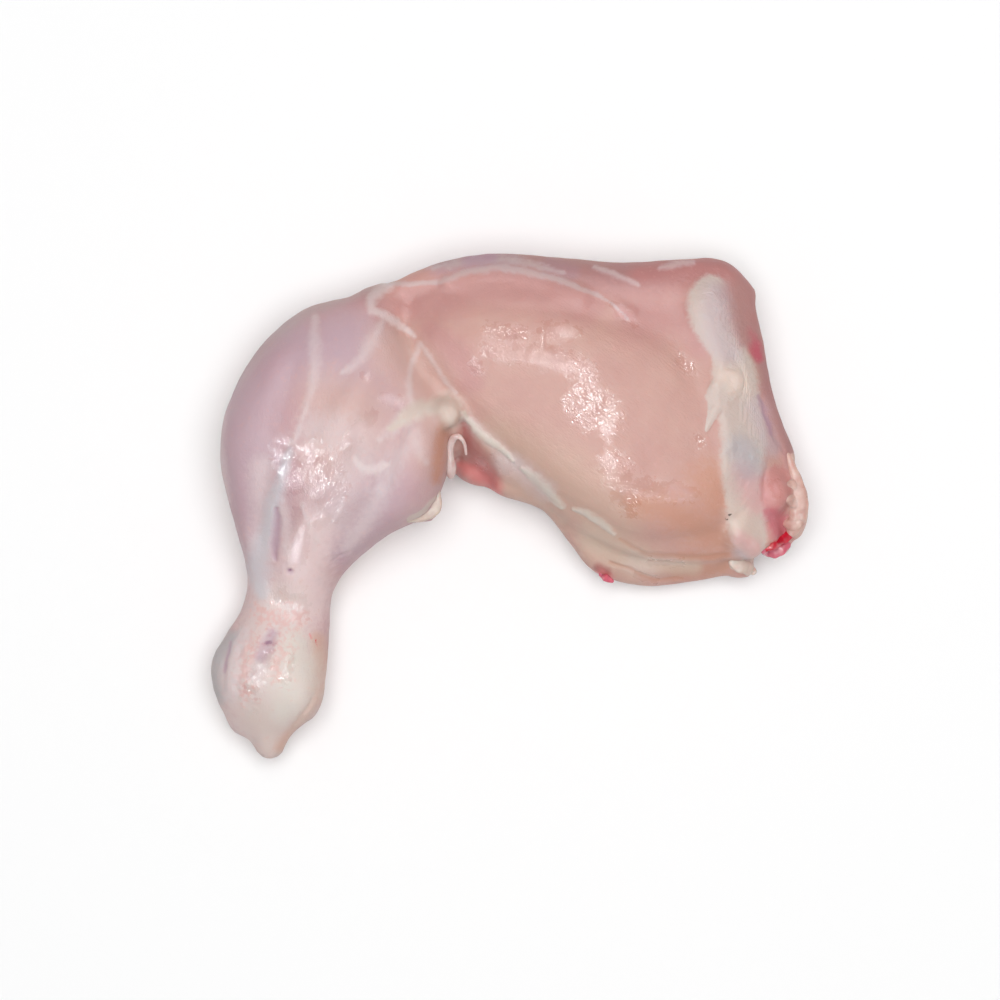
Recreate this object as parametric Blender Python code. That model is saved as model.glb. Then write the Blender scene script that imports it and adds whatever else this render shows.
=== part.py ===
"""A raw, skinless chicken leg, drumstick and thigh in one piece, lying on its side.

The leg is built the way the real one is: muscles, fat and gristle are closed bodies laid
side by side, and a voxel remesh grows them together into one solid with soft creases.

Plan positions are plan units from the crook behind the knee, x towards the hip end and y
towards the front edge of the thigh. Heights are plan units above the table. A plan unit is a
little under a millimetre: it is a thousandth of a metre until the finished leg is scaled so
that its long side is LEG_LENGTH.
"""

import math

import bmesh
import bpy
import numpy as np
from mathutils import Vector

# Driving sizes, in metres
LEG_LENGTH = 0.148
PLAN_UNIT = 0.001
VOXEL = 0.9 * PLAN_UNIT
SMOOTHING_PASSES = 9
SMOOTHING_STRENGTH = 0.5
KEPT_TRIANGLES = 9200
TABLE_SNAP = 0.12 * PLAN_UNIT
SMALLEST_EDGE = 0.05 * PLAN_UNIT

# How finely each muscle is drawn before it grows together with the rest
RING_POINTS = 36
RINGS_PER_SPAN = 5
END_ANGLES = (25, 48, 66, 80)
TUBE_SIDES = 16
USUAL_SQUARENESS = 2.15

# Colour and shine of the wet flesh
FLESH_COLOUR = (0.62, 0.37, 0.32, 1.0)
FLESH_ROUGHNESS = 0.32

# Each muscle is a row of sections from one end to the other. A section is its front edge,
# its back edge (both in plan), its underside and its top. The last number, where there is
# one, says how square the section is: 2 is an ellipse.
DRUMSTICK = [
    ((-65.5, -61.5), (-56.5, -63.0), 4, 15),
    ((-73.5, -54.5), (-50.2, -57.0), 0, 20),
    ((-75.8, -45.5), (-46.2, -49.5), -1, 24),
    ((-73.0, -36.5), (-44.9, -40.3), -1, 23),
    ((-68.2, -28.5), (-44.4, -30.7), 1, 21),
    ((-66.2, -20.8), (-43.6, -23.4), 2, 22),
    ((-67.2, -12.5), (-38.0, -15.6), 1, 26),
    ((-70.0, -2.5), (-27.0, -5.5), 0, 32),
    ((-72.8, 9.0), (-17.5, 2.5), -2, 37),
    ((-72.2, 22.0), (-13.0, 13.5), -3, 39),
    ((-67.8, 33.8), (-13.0, 23.5), -3, 39),
    ((-60.4, 43.8), (-15.5, 31.0), -2, 38),
    ((-50.2, 51.6), (-19.0, 39.0), 0, 35),
    ((-38.5, 54.4), (-23.0, 45.5), 3, 31),
]
KNUCKLE_KNOBS = [
    # middle in plan, height of the middle, half sizes along x, y and z
    ((-69.4, -45.0), 12, (7.0, 9.5, 9.0)),
    ((-53.0, -48.0), 12.5, (7.5, 11.0, 10.5)),
    ((-66.0, -56.0), 9, (6.4, 6.4, 6.4)),
    ((-60.6, -62.0), 9, (5.0, 6.6, 5.2)),
]
SHIN_MUSCLE = [
    ((-66.0, -17.0), (-62.0, -17.5), 8, 20),
    ((-70.2, -3.0), (-59.0, -3.5), 3, 31),
    ((-73.0, 11.0), (-56.0, 9.0), 1, 37),
    ((-71.8, 24.0), (-53.0, 21.0), 1, 38),
    ((-64.6, 37.0), (-49.0, 32.0), 2, 37),
    ((-53.0, 47.0), (-43.0, 41.5), 5, 33),
]
CALF_MUSCLE = [
    ((-45.0, -16.0), (-39.5, -16.5), 5, 21),
    ((-40.5, -6.0), (-28.5, -8.0), 2, 29),
    ((-36.0, 3.0), (-18.0, -2.6), 0, 35),
    ((-32.5, 13.0), (-13.8, 6.0), -2, 38),
    ((-29.5, 22.0), (-12.0, 14.5), -1, 38),
    ((-26.0, 30.0), (-12.4, 24.0), 5, 35),
]
MIDDLE_CALF = [
    ((-57.5, -18.0), (-47.0, -18.0), 9, 23),
    ((-57.0, -5.0), (-41.0, -5.5), 8, 33),
    ((-55.0, 8.0), (-35.0, 6.0), 8, 39),
    ((-51.5, 21.0), (-30.5, 18.0), 8, 41),
    ((-46.0, 32.5), (-26.5, 27.0), 8, 40),
    ((-40.0, 41.0), (-25.0, 35.0), 8, 37),
]
KNEE_CAP = [((-33.5, 49.0), 23, (8.0, 5.8, 9.5))]

THIGH = [
    ((-26.0, 54.0), (-19.5, 24.0), 4, 29),
    ((-19.5, 60.3), (-12.5, 15.0), 2, 33),
    ((-8.3, 63.4), (0.0, 6.0), 1, 35),
    ((7.8, 62.8), (10.9, 1.0), 1, 36),
    ((24.7, 61.4), (21.6, -7.5), 1, 36),
    ((40.3, 62.2), (36.4, -14.0), 1, 34),
    ((56.8, 65.0), (52.0, -16.0), 1, 32),
    ((65.2, 58.4), (63.7, -14.2), 1, 29),
    ((68.0, 43.6), (72.4, -10.5), 3, 26),
    ((70.4, 28.2), (75.4, -4.5), 7, 22),
]
OUTER_THIGH_MUSCLE = [
    ((-23.0, 44.0), (-16.0, 30.0), 9, 32, 2.3),
    ((-15.0, 56.0), (-8.5, 20.5), 7, 36, 2.3),
    ((0.0, 58.0), (3.0, 10.5), 6, 38, 2.4),
    ((15.0, 55.5), (15.0, 1.5), 6, 39.5, 2.5),
    ((29.0, 50.0), (28.5, -6.5), 6, 39.5, 2.5),
    ((42.0, 47.5), (41.5, -10.0), 6, 38, 2.5),
    ((51.5, 42.5), (55.0, -9.0), 6, 35, 2.4),
]
KNEE_HOLLOW_FLOOR = [((-3.0, 10.8), 9, (9.5, 6.6, 9.0))]
FRONT_MUSCLE = [
    # plan position, height, radius across, radius up
    ((-27.0, 55.4), 23, 3.0, 4.5),
    ((-14.0, 59.2), 22, 4.4, 7.0),
    ((0.0, 60.6), 21, 5.2, 9.0),
    ((16.0, 58.8), 21, 6.0, 9.5),
    ((32.0, 56.0), 21, 7.6, 10.0),
    ((48.0, 55.4), 20, 9.0, 10.5),
    ((61.2, 55.2), 18, 8.6, 10.5),
]
BACK_FLAP = [
    ((0.0, 8.0), (1.3, 1.8), 3, 22),
    ((11.7, 5.5), (11.7, -1.5), 2, 20),
    ((24.0, -1.0), (18.0, -9.0), 1, 18),
    ((33.0, -7.5), (25.8, -18.4), 0, 14),
    ((42.0, -7.5), (38.5, -22.2), 0, 12.5),
    ((52.0, -7.5), (51.5, -21.2), 0, 12.5),
    ((61.0, -8.0), (65.0, -18.4), 2, 12.5),
]
FLAP_UPPER_FOLD = [
    ((28.0, -12.0), 13.0, 2.0, 2.2),
    ((37.0, -15.4), 12.2, 3.0, 2.8),
    ((48.0, -15.6), 12.2, 3.2, 3.0),
    ((58.0, -14.8), 12.4, 2.6, 2.6),
]
INNER_THIGH_FRONT = [
    ((-16.0, 50.0), (-12.0, 36.0), 0, 18),
    ((4.0, 57.0), (4.0, 36.0), -4, 20),
    ((26.0, 56.0), (25.0, 33.0), -4, 20),
    ((46.0, 54.0), (46.0, 29.0), -4, 20),
    ((59.0, 48.0), (60.0, 25.0), -1, 18),
]
INNER_THIGH_BACK = [
    ((-9.0, 30.0), (-6.0, 12.0), 0, 18),
    ((8.0, 32.0), (10.0, 7.0), -4, 20),
    ((28.0, 29.0), (26.0, -3.0), -4, 20),
    ((47.0, 25.0), (45.0, -9.0), -4, 20),
    ((62.0, 19.0), (63.0, -6.0), -1, 18),
]
HIP_FAT_BAND = [
    ((51.0, 55.0), (57.5, 54.5), 22, 31),
    ((50.0, 48.5), (61.0, 49.0), 21, 34),
    ((53.0, 40.5), (62.4, 41.5), 21, 34.5),
    ((55.8, 32.5), (64.0, 33.5), 20, 35),
    ((56.0, 24.5), (66.5, 26.0), 18, 34),
    ((57.0, 15.5), (69.5, 18.0), 17, 32.5),
    ((58.0, 6.5), (70.0, 9.0), 13, 30.5),
    ((59.5, -4.0), (68.5, -4.0), 10, 27.5),
    ((61.5, -12.5), (67.0, -12.5), 7, 22.5),
]
FAT_BAND_LUMPS = [
    ((54.5, 51.0), 31.5, (4.6, 4.4, 3.6)),
    ((59.8, 31.8), 32.5, (4.8, 4.0, 4.0)),
    ((57.6, 23.0), 31.5, (2.2, 5.6, 3.4)),
    ((64.2, 12.5), 26.5, (6.2, 6.6, 7.0)),
    ((62.5, -7.0), 24, (3.6, 5.4, 5.0)),
    ((67.0, -9.5), 18.5, (3.0, 5.0, 6.0)),
    ((64.5, -17.8), 8, (4.2, 2.4, 4.0)),
]
HIP_END_MUSCLE = [
    ((64.4, 53.0), 17, 3.2, 7.0),
    ((67.0, 42.0), 17, 3.2, 8.0),
    ((68.4, 31.5), 16, 3.6, 8.5),
    ((71.6, 20.5), 16, 3.8, 8.0),
    ((76.2, 11.0), 15, 3.2, 6.0),
]
HIP_END_BALLS = [
    ((71.8, 2.4), 21.5, (4.8, 5.6, 5.6)),
    ((71.0, -8.2), 17.5, (3.8, 4.2, 5.0)),
    ((74.0, -11.4), 10, (4.4, 3.0, 4.2)),
]
HIP_EDGE_FAT = [
    ((76.6, 10.0), 18.5, 1.8, 2.2),
    ((78.9, 4.0), 18.5, 2.3, 3.0),
    ((80.0, -3.0), 17, 2.6, 3.4),
    ((78.2, -8.6), 14.5, 2.7, 3.2),
]
KNEE_KNOB = [((-13.0, 23.2), 34.5, (3.8, 3.6, 3.2))]
CALF_FAT_TAG = [
    ((-22.5, -2.8), 11, 2.4, 1.7),
    ((-18.6, -3.2), 10, 2.6, 1.8),
    ((-16.4, -1.2), 11, 2.2, 1.7),
]


def clear_scene():
    for obj in list(bpy.data.objects):
        bpy.data.objects.remove(obj)


def through(values, share):
    """The Catmull-Rom curve through rows of numbers, at share from 0 to 1."""
    rows = np.asarray(values, float)
    place = share * (len(rows) - 1)
    first = min(int(place), len(rows) - 2)
    t = place - first
    p1, p2 = rows[first], rows[first + 1]
    p0 = rows[first - 1] if first > 0 else 2 * p1 - p2
    p3 = rows[first + 2] if first + 2 < len(rows) else 2 * p2 - p1
    return 0.5 * (
        2 * p1
        + (p2 - p0) * t
        + (2 * p0 - 5 * p1 + 4 * p2 - p3) * t**2
        + (3 * p1 - p0 - 3 * p2 + p3) * t**3
    )


def section_ring(row, scale=1.0, shift=(0.0, 0.0)):
    """Points of one upright section: a rounded square or ellipse between two plan edges."""
    ax, ay, bx, by, low, high, square = row
    middle = Vector(((ax + bx) / 2 + shift[0], (ay + by) / 2 + shift[1], (low + high) / 2))
    across = Vector(((ax - bx) / 2, (ay - by) / 2, 0)) * scale
    up = Vector((0, 0, (high - low) / 2)) * scale
    ring = []
    for k in range(RING_POINTS):
        angle = 2 * math.pi * k / RING_POINTS
        c, s = math.cos(angle), math.sin(angle)
        c = math.copysign(abs(c) ** (2 / square), c)
        s = math.copysign(abs(s) ** (2 / square), s)
        ring.append(middle + across * c + up * s)
    return ring


def rounded_end(rows, end, outwards):
    """Rings that close a muscle's end as a quarter round, from its last section outwards."""
    last, before = rows[end], rows[end + outwards]
    heading = (last[0:2] + last[2:4]) - (before[0:2] + before[2:4])
    heading /= np.linalg.norm(heading)
    reach = min(math.hypot(last[0] - last[2], last[1] - last[3]), last[5] - last[4]) / 2
    rings = []
    for degrees in END_ANGLES:
        angle = math.radians(degrees)
        rings.append(section_ring(last, math.cos(angle), heading * reach * math.sin(angle)))
    tip = section_ring(last, 0.0, heading * reach)[0]
    return rings, tip


def muscle(bm, sections):
    """Adds a closed body through the sections to bm."""
    table = []
    for section in sections:
        (ax, ay), (bx, by), low, high = section[:4]
        square = section[4] if len(section) > 4 else USUAL_SQUARENESS
        table.append([ax, ay, bx, by, low, high, square])
    count = (len(table) - 1) * RINGS_PER_SPAN + 1
    rows = [through(table, k / (count - 1)) for k in range(count)]
    head, head_tip = rounded_end(rows, 0, 1)
    tail, tail_tip = rounded_end(rows, -1, -1)
    rings = head[::-1] + [section_ring(row) for row in rows] + tail
    close_tube(bm, rings, head_tip, tail_tip)


def close_tube(bm, rings, head_tip, tail_tip):
    """Skins a row of rings and closes it with a fan at each tip, faces outwards."""
    loops = [[bm.verts.new(point * PLAN_UNIT) for point in ring] for ring in rings]
    faces = []
    for a, b in zip(loops, loops[1:]):
        for k in range(len(a)):
            m = (k + 1) % len(a)
            faces.append(bm.faces.new((a[k], a[m], b[m], b[k])))
    for loop, tip in ((loops[0], head_tip), (loops[-1], tail_tip)):
        point = bm.verts.new(tip * PLAN_UNIT)
        for k in range(len(loop)):
            faces.append(bm.faces.new((loop[k], loop[(k + 1) % len(loop)], point)))
    bmesh.ops.recalc_face_normals(bm, faces=faces)


def cord_muscle(bm, stations):
    """Adds a closed tube along a row of (plan point, height, radius across, radius up)."""
    table = [[x, y, z, across, up] for (x, y), z, across, up in stations]
    count = (len(table) - 1) * RINGS_PER_SPAN + 1
    rows = [through(table, k / (count - 1)) for k in range(count)]
    rings = []
    for k, row in enumerate(rows):
        ahead = rows[min(k + 1, count - 1)][:3] - rows[max(k - 1, 0)][:3]
        side = Vector((-ahead[1], ahead[0], 0)).normalized()
        middle = Vector(row[:3])
        ring = []
        for n in range(TUBE_SIDES):
            angle = 2 * math.pi * n / TUBE_SIDES
            ring.append(middle + side * math.cos(angle) * row[3] + Vector((0, 0, math.sin(angle) * row[4])))
        rings.append(ring)
    tips = []
    for end, inner in ((0, 1), (-1, -2)):
        outwards = Vector(rows[end][:3] - rows[inner][:3]).normalized()
        tips.append(Vector(rows[end][:3]) + outwards * rows[end][3])
    close_tube(bm, rings, tips[0], tips[1])


def lumps(bm, balls):
    """Adds egg-shaped lumps: (plan middle, height, half sizes)."""
    for (x, y), z, half in balls:
        made = bmesh.ops.create_icosphere(bm, subdivisions=3, radius=1.0)
        middle = Vector((x, y, z))
        for vert in made["verts"]:
            vert.co = (middle + vert.co * Vector(half)) * PLAN_UNIT


def laid_out_muscles():
    """One mesh that holds every muscle, fat body and knob, still overlapping."""
    bm = bmesh.new()
    for body in (
        DRUMSTICK,
        SHIN_MUSCLE,
        CALF_MUSCLE,
        MIDDLE_CALF,
        THIGH,
        OUTER_THIGH_MUSCLE,
        BACK_FLAP,
        INNER_THIGH_FRONT,
        INNER_THIGH_BACK,
        HIP_FAT_BAND,
    ):
        muscle(bm, body)
    for body in (FRONT_MUSCLE, FLAP_UPPER_FOLD, HIP_END_MUSCLE, HIP_EDGE_FAT, CALF_FAT_TAG):
        cord_muscle(bm, body)
    for body in (KNUCKLE_KNOBS, KNEE_CAP, KNEE_HOLLOW_FLOOR, FAT_BAND_LUMPS, HIP_END_BALLS, KNEE_KNOB):
        lumps(bm, body)
    mesh = bpy.data.meshes.new("laid_out_muscles")
    bm.to_mesh(mesh)
    bm.free()
    return mesh


def evaluated(mesh, name, modifiers):
    """The mesh after (type, settings) modifiers, applied one after another."""
    obj = bpy.data.objects.new(name, mesh)
    bpy.context.scene.collection.objects.link(obj)
    for kind, settings in modifiers:
        modifier = obj.modifiers.new(kind.title(), kind)
        for key, value in settings.items():
            setattr(modifier, key, value)
    graph = bpy.context.evaluated_depsgraph_get()
    result = bpy.data.meshes.new_from_object(obj.evaluated_get(graph), depsgraph=graph)
    bpy.data.objects.remove(obj)
    return result


def rest_on_table(mesh):
    """Presses whatever hangs below the table's height flat, as wet meat settles."""
    points = np.empty(len(mesh.vertices) * 3, np.float32)
    mesh.vertices.foreach_get("co", points)
    points = points.reshape(-1, 3)
    points[points[:, 2] < TABLE_SNAP, 2] = 0.0
    mesh.vertices.foreach_set("co", points.ravel())
    mesh.update()


def grown_together(mesh):
    """One closed skin round all the muscles, thinned to the triangles that are kept."""
    skin = evaluated(
        mesh,
        "growing",
        [
            ("REMESH", {"mode": "VOXEL", "voxel_size": VOXEL, "adaptivity": 0.0}),
            ("SMOOTH", {"factor": SMOOTHING_STRENGTH, "iterations": SMOOTHING_PASSES}),
        ],
    )
    rest_on_table(skin)
    skin.calc_loop_triangles()
    share = KEPT_TRIANGLES / len(skin.loop_triangles)
    thinning = ("DECIMATE", {"ratio": share, "use_collapse_triangulate": True})
    thinned = evaluated(skin, "thinning", [thinning])
    rest_on_table(thinned)
    return thinned


def sized_and_centred(mesh):
    """Scales the mesh to its real length and puts the origin at the bottom centre of its box."""
    points = np.array([vert.co for vert in mesh.vertices])
    low, high = points.min(0), points.max(0)
    shift = Vector(((low[0] + high[0]) / 2, (low[1] + high[1]) / 2, low[2]))
    scale = LEG_LENGTH / float(high[0] - low[0])
    for vert in mesh.vertices:
        vert.co = (vert.co - shift) * scale


def tidied(mesh):
    """Welds points that all but touch and turns every face outwards."""
    bm = bmesh.new()
    bm.from_mesh(mesh)
    bmesh.ops.remove_doubles(bm, verts=bm.verts, dist=SMALLEST_EDGE)
    bmesh.ops.triangulate(bm, faces=bm.faces)
    bmesh.ops.recalc_face_normals(bm, faces=bm.faces)
    bm.to_mesh(mesh)
    bm.free()


def flesh_material():
    material = bpy.data.materials.new("raw_flesh")
    material.use_nodes = True
    shader = material.node_tree.nodes["Principled BSDF"]
    shader.inputs["Base Color"].default_value = FLESH_COLOUR
    shader.inputs["Roughness"].default_value = FLESH_ROUGHNESS
    shader.inputs["Metallic"].default_value = 0.0
    return material


def chicken_leg():
    mesh = grown_together(laid_out_muscles())
    tidied(mesh)
    sized_and_centred(mesh)
    mesh.shade_smooth()
    mesh.materials.clear()
    mesh.materials.append(flesh_material())
    leg = bpy.data.objects.new("leg", mesh)
    bpy.context.scene.collection.objects.link(leg)
    return leg


def main():
    clear_scene()
    chicken_leg()


main()
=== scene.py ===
import math

import bmesh
import bpy
import numpy as np
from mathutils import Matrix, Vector, noise
from mathutils.bvhtree import BVHTree


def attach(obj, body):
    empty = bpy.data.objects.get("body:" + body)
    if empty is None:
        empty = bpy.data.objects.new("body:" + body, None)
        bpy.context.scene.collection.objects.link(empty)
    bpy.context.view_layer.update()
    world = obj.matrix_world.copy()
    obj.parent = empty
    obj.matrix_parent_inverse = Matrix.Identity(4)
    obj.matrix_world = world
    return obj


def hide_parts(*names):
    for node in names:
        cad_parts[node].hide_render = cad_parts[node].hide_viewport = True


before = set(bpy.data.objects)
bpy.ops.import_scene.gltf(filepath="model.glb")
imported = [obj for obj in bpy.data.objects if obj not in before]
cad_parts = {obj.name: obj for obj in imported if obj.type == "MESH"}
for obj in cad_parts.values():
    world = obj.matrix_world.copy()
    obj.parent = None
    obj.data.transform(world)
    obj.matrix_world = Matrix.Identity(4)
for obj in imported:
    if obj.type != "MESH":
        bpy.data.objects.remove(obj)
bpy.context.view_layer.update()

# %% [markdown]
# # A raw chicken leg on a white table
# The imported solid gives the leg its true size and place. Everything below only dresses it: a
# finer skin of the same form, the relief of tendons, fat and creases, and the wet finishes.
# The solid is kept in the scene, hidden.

MM = 0.001
solid_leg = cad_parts["leg"]

# %% [markdown]
# ## The camera
# The leg was photographed from straight above, so the camera looks straight down. A real
# lens about a metre away shows a little perspective: what is higher looks larger. Every
# place below is given in the picture's own 1000 by 1000 frame, because that is where tendons
# and fat can be seen and pointed at, and one function turns the leg's points into it.

# %% Camera and the picture's frame
PICTURE = 1000.0
FRAME_WIDTH = 0.2502
SENSOR = 36.0
CAMERA_HEIGHT = 1.0
CAMERA_PLACE = (-0.00225, 0.00213)


def new_object(name, data):
    """A new object, linked to the scene."""
    obj = bpy.data.objects.new(name, data)
    bpy.context.scene.collection.objects.link(obj)
    return obj


camera_data = bpy.data.cameras.new("camera")
camera_data.sensor_width = SENSOR
camera_data.lens = SENSOR * CAMERA_HEIGHT / FRAME_WIDTH
camera = new_object("camera", camera_data)
camera.location = (*CAMERA_PLACE, CAMERA_HEIGHT)
bpy.context.scene.camera = camera


def picture_place(points):
    """Columns and rows of the picture where points (n, 3) in metres are seen."""
    scale = PICTURE / FRAME_WIDTH / (1 - points[:, 2] / CAMERA_HEIGHT)
    columns = PICTURE / 2 + (points[:, 0] - CAMERA_PLACE[0]) * scale
    rows = PICTURE / 2 - (points[:, 1] - CAMERA_PLACE[1]) * scale
    return np.stack([columns, rows], axis=1)


PIXEL = FRAME_WIDTH / PICTURE
print("one pixel at the table, mm:", round(PIXEL / MM, 3))

# %% [markdown]
# ## A finer skin
# The solid has about nine thousand flat triangles, far too few for wet meat, on which every
# facet would flash. A subdivision surface rounds them off, a voxel remesh turns the result
# into even quads, and a few passes of smoothing settle them. Only the upper side carries the
# finest relief, so its quads are split once more.

# %% Skin mesh
SKIN_VOXEL = 1.06 * MM
SKIN_SMOOTHING = 5
SPLIT_ABOVE = 0.0


def evaluated(obj, modifiers):
    """A new mesh: obj after (type, settings) modifiers."""
    for kind, settings in modifiers:
        modifier = obj.modifiers.new(kind.title(), kind)
        for key, value in settings.items():
            setattr(modifier, key, value)
    graph = bpy.context.evaluated_depsgraph_get()
    mesh = bpy.data.meshes.new_from_object(obj.evaluated_get(graph), depsgraph=graph)
    obj.modifiers.clear()
    return mesh


def reworked(mesh, work):
    """Run work on the mesh as a bmesh."""
    draft_mesh = bmesh.new()
    draft_mesh.from_mesh(mesh)
    work(draft_mesh)
    draft_mesh.to_mesh(mesh)
    draft_mesh.free()


def split_upper_quads(draft_mesh):
    draft_mesh.normal_update()
    upper = [face for face in draft_mesh.faces if face.normal.z > SPLIT_ABOVE]
    edges = list({edge for face in upper for edge in face.edges})
    bmesh.ops.subdivide_edges(draft_mesh, edges=edges, cuts=1, use_grid_fill=True)


draft = new_object("draft", solid_leg.data.copy())
reworked(draft.data, lambda bm: bmesh.ops.remove_doubles(bm, verts=bm.verts, dist=0.01 * MM))
rounded = {"levels": 2, "render_levels": 2}
even_quads = {"mode": "VOXEL", "voxel_size": SKIN_VOXEL, "adaptivity": 0.0}
settled = {"factor": 0.5, "iterations": SKIN_SMOOTHING}
draft.data = evaluated(draft, [("SUBSURF", rounded), ("REMESH", even_quads), ("SMOOTH", settled)])
reworked(draft.data, split_upper_quads)
skin = evaluated(draft, [("SMOOTH", {"factor": 0.5, "iterations": 3})])
bpy.data.objects.remove(draft)
skin.name = "leg_flesh"
skin.calc_loop_triangles()
print("skin:", len(skin.vertices), "points,", len(skin.loop_triangles), "triangles")

# %% [markdown]
# ## Where things are
# Three facts about each point of the skin steer everything else: where the picture shows it,
# how far it faces up, and how the muscle fibres run there. The edges of fat and tendon on
# real meat are never clean curves, so places are shaken a little by noise before anything
# is drawn at them.

# %% Points, normals and fibre directions


def read_points(mesh):
    values = np.empty(len(mesh.vertices) * 3, np.float32)
    mesh.vertices.foreach_get("co", values)
    return values.reshape(-1, 3).astype(np.float64)


def read_normals(mesh):
    return np.array([vertex.normal for vertex in mesh.vertices])


def smooth_step(values, low, high):
    share = np.clip((values - low) / (high - low), 0, 1)
    return share * share * (3 - 2 * share)


LUMP_FADE = 0.6
LUMP_STEP = 2.0


def noise_at(spots, grain, seed, octaves=3):
    """Noise from about -1 to 1 at spots in metres, with lumps the size of grain."""
    shift = Vector((seed * 17.3, seed * 5.1, seed * 9.7))
    places = [Vector(spot) + shift for spot in spots / grain]
    return np.array([noise.fractal(spot, LUMP_FADE, LUMP_STEP, octaves) for spot in places])


points = read_points(skin)
normals = read_normals(skin)
place = picture_place(points)
facing_up = smooth_step(normals[:, 2], -0.32, 0.05)
facing_down = 1 - facing_up

KNEE_LINE = ((372.0, 290.0), (462.0, 480.0))
KNEE_BLEND = 14.0
knee_start, knee_end = (np.array(end) for end in KNEE_LINE)
knee_run = (knee_end - knee_start) / np.linalg.norm(knee_end - knee_start)
past_knee = (place - knee_start) @ np.array([knee_run[1], -knee_run[0]])
on_thigh = smooth_step(past_knee, -KNEE_BLEND, KNEE_BLEND)

DRUM_FIBRES = Vector((-0.12, -0.99, 0.0)).normalized()
THIGH_FIBRES = Vector((0.78, -0.62, 0.0)).normalized()


def fibre_space(direction):
    """Points in metres along, across and above a fibre direction."""
    side = Vector((0, 0, 1)).cross(direction)
    return np.stack([points @ np.array(direction), points @ np.array(side), points[:, 2]], axis=1)


thigh_share = on_thigh[:, None]
fibres = fibre_space(DRUM_FIBRES) * (1 - thigh_share) + fibre_space(THIGH_FIBRES) * thigh_share

SHAKE = 1.3
SHAKE_GRAIN = 4.5 * MM
shakes = [noise_at(points, SHAKE_GRAIN, seed) for seed in (1, 2)]
shaken = place + SHAKE * np.stack(shakes, axis=1)
print("points on the thigh:", int((on_thigh > 0.5).sum()), "of", len(points))

# %% [markdown]
# ## Brushes
# A tendon, a crease or a patch of fat is one stroke: a smooth curve through a few places of
# the picture, with a half-width at each. The brush tells every point of the skin how far
# inside the stroke it lies: 1 in the middle, 0 at the edge, and down to -1 outside. Such a
# ramp can be cut hard or soft later, so the same strokes raise the surface, dig creases and
# steer colours, and relief and colour always meet.

# %% Brush
CURVE_STEPS = 5


def through(rows):
    """A smooth curve through rows of numbers."""
    rows = np.asarray(rows, float)
    if len(rows) < 3:
        return rows
    padded = np.vstack([2 * rows[0] - rows[1], rows, 2 * rows[-1] - rows[-2]])
    curve = []
    for k in range(len(rows) - 1):
        a, b, c, d = padded[k : k + 4]
        for t in np.arange(CURVE_STEPS) / CURVE_STEPS:
            bend = (2 * a - 5 * b + 4 * c - d) * t**2 + (3 * b - a - 3 * c + d) * t**3
            curve.append(0.5 * (2 * b + (c - a) * t + bend))
    curve.append(rows[-1])
    return np.array(curve)


def stroke(rows, where=shaken):
    """How far each place is inside a stroke of (column, row, half-width) rows, -1 to 1."""
    curve = through(rows)
    reach = 2 * curve[:, 2].max() + 1
    low, high = curve[:, :2].min(0) - reach, curve[:, :2].max(0) + reach
    near = np.where(((where > low) & (where < high)).all(1))[0]
    spots = where[near]
    best = np.full(len(near), 2.0)
    for a, b in zip(curve, curve[1:]):
        step = b[:2] - a[:2]
        share = np.clip(((spots - a[:2]) @ step) / max(step @ step, 1e-9), 0, 1)
        away = np.linalg.norm(spots - a[:2] - share[:, None] * step, axis=1)
        best = np.minimum(best, away / (a[2] + (b[2] - a[2]) * share))
    inside = np.full(len(where), -1.0)
    inside[near] = 1 - best
    return inside


def strokes(several, where=shaken):
    """The deepest of several strokes at each point."""
    return np.maximum.reduce([stroke(rows, where) for rows in several])


def swell(inside, low=-0.25, high=0.75):
    """A rounded 0 to 1 from a stroke's ramp."""
    return smooth_step(inside, low, high)


# %% [markdown]
# ## Tendons and silverskin
# Connective tissue shows as whitish cords and films over the pink muscle. The cords stand a
# tenth to a third of a millimetre proud and are drawn as strokes. The knee has a Y of them,
# one long cord runs down the drumstick into the bluish tendon of the shank, and a film edges
# the muscle along the front of the thigh.

# %% Tendon cords
KNEE_TENDONS = [
    [(388, 284, 6), (377, 293, 6), (371, 303, 5), (371, 311, 4)],
    [(371, 310, 4), (384, 315, 4), (394, 321, 4), (404, 328, 3.4), (415, 336, 2)],
]
FAINT_CORDS = [
    [(383, 322, 3), (376, 334, 5), (369, 346, 6), (362, 357, 5), (352, 367, 4), (342, 373, 2)],
    [(420, 343, 2.4), (414, 358, 2.8), (410, 376, 3), (409, 392, 3.4), (413, 408, 4)],
    [(419, 342, 2), (433, 362, 2.4), (444, 378, 2.4), (455, 393, 2)],
    [(315, 316, 3), (314, 334, 5), (315, 352, 6), (315, 370, 5), (311, 392, 4), (305, 412, 3)],
    [(305, 412, 3), (300, 428, 2.8), (292, 444, 3)],
    [(418, 412, 6), (404, 420, 7), (392, 430, 6), (380, 440, 3)],
    [(408, 424, 8), (414, 440, 11), (421, 452, 7), (426, 462, 3)],
    [(404, 448, 8), (392, 470, 9), (380, 494, 10), (365, 522, 10), (348, 548, 6)],
    [(284, 500, 3), (286, 528, 5), (287, 552, 4)],
    [(303, 505, 3), (309, 520, 3), (317, 541, 3)],
    [(466, 418, 5), (486, 438, 7), (506, 454, 6), (530, 474, 4)],
]
PALE_CURL = [(356, 460, 3), (362, 468, 4), (372, 470, 4.4), (384, 465, 4)]
SHANK_TENDON = [
    (289, 452, 4), (284, 470, 5), (277, 494, 6), (271, 512, 7), (267, 532, 8), (259, 554, 10),
    (259, 574, 10), (263, 594, 6),
]
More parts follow.
